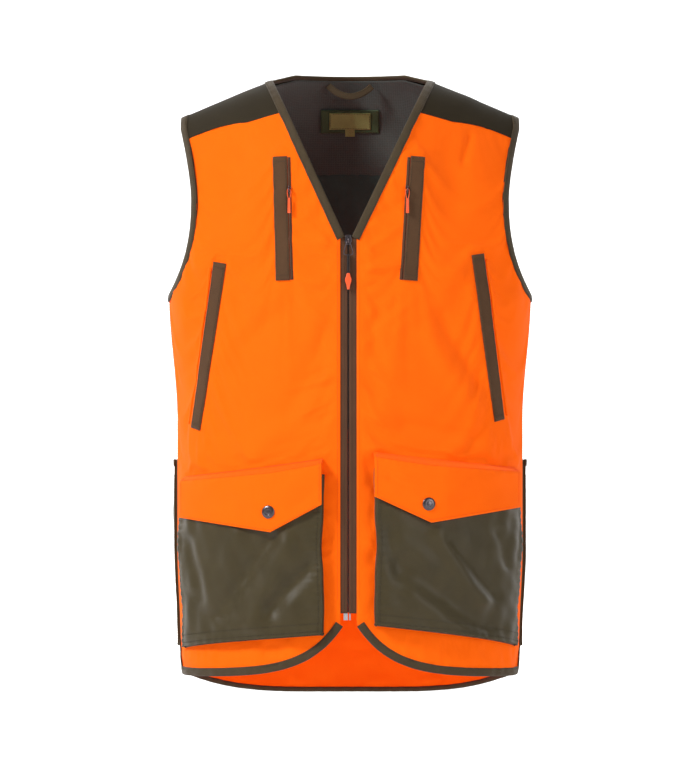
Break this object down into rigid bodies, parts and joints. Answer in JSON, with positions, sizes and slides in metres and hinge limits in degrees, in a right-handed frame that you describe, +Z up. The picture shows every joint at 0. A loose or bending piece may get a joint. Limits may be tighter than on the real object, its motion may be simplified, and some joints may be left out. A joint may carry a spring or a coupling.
{
  "type": "high-visibility hunting vest",
  "caption": "Sleeveless V-neck field vest with front zip, slanted hand pockets, zipped chest pockets, flapped bellows pockets, dark yoke and rear game pocket.",
  "frame": {"origin": "middle of the neck, level with the top of the back neckline, in the plane of the side seams", "axes": "+Z up the body, the front faces -Y, the wearer's left side is +X"},
  "size_m": [0.437, 0.262, 0.7463],
  "materials": {
    "orange_cloth": "blaze orange woven cloth, soft sheen",
    "olive_cloth": "olive woven cloth, satin sheen",
    "yoke_cloth": "dark brown-olive cloth, satin sheen",
    "trim_tape": "brown-olive binding tape, matte",
    "zip_tape": "dark reverse coil zip tape, matte",
    "lining_mesh": "charcoal knitted mesh, matte",
    "label_leather": "brown label, satin",
    "gunmetal": "dark gunmetal plating",
    "grip_plastic": "fluorescent orange moulded plastic and cord"
  },
  "bodies": {
    "shell": {"armhole_binding_left": "trim_tape", "armhole_binding_right": "trim_tape", "back_hem_binding": "trim_tape", "back_lining": "lining_mesh", "back_panel": "orange_cloth", "back_yoke": "yoke_cloth", "chest_bag_left": "lining_mesh", "chest_bag_right": "lining_mesh", "chest_welt_left": "trim_tape", "chest_welt_right": "trim_tape", "chest_zip_left": "zip_tape", "chest_zip_right": "zip_tape", "front_upper_left": "orange_cloth", "front_upper_right": "orange_cloth", "front_yoke_left": "yoke_cloth", "front_yoke_right": "yoke_cloth", "game_pocket": "olive_cloth", "hang_loop": "trim_tape", "label_patch": "olive_cloth", "label_plate": "label_leather", "neck_binding": "trim_tape", "size_tab": "label_leather", "v_binding_left": "trim_tape", "v_binding_right": "trim_tape", "zip_upper_left": "zip_tape", "zip_upper_right": "zip_tape"},
    "front_right": {"front_lower_right": "orange_cloth", "front_hem_binding_right": "trim_tape", "zip_lower_right": "zip_tape", "hand_welt_right": "trim_tape", "hand_bag_right": "lining_mesh", "cargo_pocket_right": "olive_cloth", "snap_stud_right": "gunmetal", "zip_box": "gunmetal"},
    "flap_right": {"cargo_flap_right": "orange_cloth", "snap_cap_right": "gunmetal", "snap_socket_right": "gunmetal"},
    "chest_slider_right": {"chest_slider_right": "gunmetal"},
    "chest_pull_right": {"chest_pull_right": "grip_plastic"},
    "front_left": {"front_lower_left": "orange_cloth", "front_hem_binding_left": "trim_tape", "zip_lower_left": "zip_tape", "hand_welt_left": "trim_tape", "hand_bag_left": "lining_mesh", "cargo_pocket_left": "olive_cloth", "snap_stud_left": "gunmetal", "zip_pin": "gunmetal"},
    "flap_left": {"cargo_flap_left": "orange_cloth", "snap_cap_left": "gunmetal", "snap_socket_left": "gunmetal"},
    "chest_slider_left": {"chest_slider_left": "gunmetal"},
    "chest_pull_left": {"chest_pull_left": "grip_plastic"},
    "zip_slider": {"zip_slider": "gunmetal"},
    "zip_wire": {"zip_pull_wire": "gunmetal"},
    "zip_grip": {"zip_pull_grip": "grip_plastic"}
  },
  "joints": [
    {"name": "front_right_open", "type": "hinge", "parent": "shell", "child": "front_right", "pos_m": [-0.208, 0, -0.5], "axis": [0, 0, -1], "range_deg": [0, 35]},
    {"name": "flap_right_lift", "type": "hinge", "parent": "front_right", "child": "flap_right", "pos_m": [-0.0943, -0.11118, -0.46836], "axis": [-0.9492, 0.2874, -0.128], "range_deg": [0, 115], "deforming": ["cargo_flap_right"]},
    {"name": "chest_right_zip", "type": "slide", "parent": "shell", "child": "chest_slider_right", "axis": [-0.024, 0.0065, 0.9997], "range_m": [-0.095, 0.03]},
    {"name": "chest_right_pull", "type": "hinge", "parent": "chest_slider_right", "child": "chest_pull_right", "pos_m": [-0.07202, -0.12114, -0.141], "axis": [-0.9813, 0.1925, 0], "range_deg": [0, 90]},
    {"name": "front_left_open", "type": "hinge", "parent": "shell", "child": "front_left", "pos_m": [0.208, 0, -0.5], "axis": [0, 0, 1], "range_deg": [0, 35]},
    {"name": "flap_left_lift", "type": "hinge", "parent": "front_left", "child": "flap_left", "pos_m": [0.09096, -0.11217, -0.45911], "axis": [-0.9549, -0.2765, 0.1087], "range_deg": [0, 115], "deforming": ["cargo_flap_left"]},
    {"name": "chest_left_zip", "type": "slide", "parent": "shell", "child": "chest_slider_left", "axis": [0.0615, 0.0123, 0.998], "range_m": [-0.095, 0.03]},
    {"name": "chest_left_pull", "type": "hinge", "parent": "chest_slider_left", "child": "chest_pull_left", "pos_m": [0.06798, -0.1219, -0.141], "axis": [-0.9835, -0.1809, 0], "range_deg": [0, 90]},
    {"name": "zip_slide", "type": "slide", "parent": "shell", "child": "zip_slider", "axis": [0, 0, 1], "range_m": [-0.43, 0]},
    {"name": "zip_wire_swing", "type": "hinge", "parent": "zip_slider", "child": "zip_wire", "pos_m": [-0.002, -0.1254, -0.2025], "axis": [-1, 0, 0], "range_deg": [0, 110]},
    {"name": "zip_grip_swing", "type": "hinge", "parent": "zip_wire", "child": "zip_grip", "pos_m": [-0.002, -0.1254, -0.2185], "axis": [-1, 0, 0], "range_deg": [0, 100]}
  ]
}
